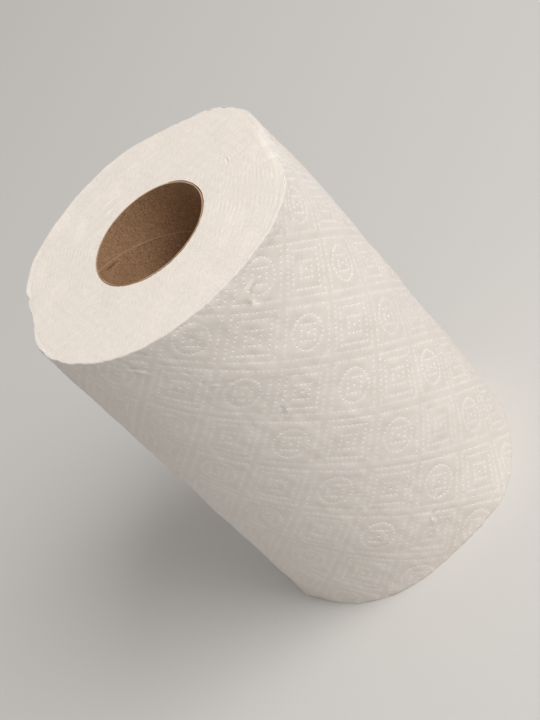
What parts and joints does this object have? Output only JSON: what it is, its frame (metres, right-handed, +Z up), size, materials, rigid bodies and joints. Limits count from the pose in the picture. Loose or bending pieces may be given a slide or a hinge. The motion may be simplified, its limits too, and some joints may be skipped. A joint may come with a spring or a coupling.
{
  "type": "paper towel roll",
  "caption": "Soft embossed paper web wound on an open cardboard core, standing on its end; the core slips over a holder's post.",
  "frame": {"origin": "centre of the core's bore at the lower end, on the surface that the roll stands on", "axes": "+Z up along the roll's axis, -Y towards the front"},
  "size_m": [0.1205, 0.1201, 0.174],
  "materials": {
    "embossed_paper": "matte, dot-embossed, soft",
    "kraft_board": "matte, speckled kraft"
  },
  "bodies": {
    "root": {"wound_towel": "embossed_paper", "cardboard_core": "kraft_board"}
  },
  "joints": []
}
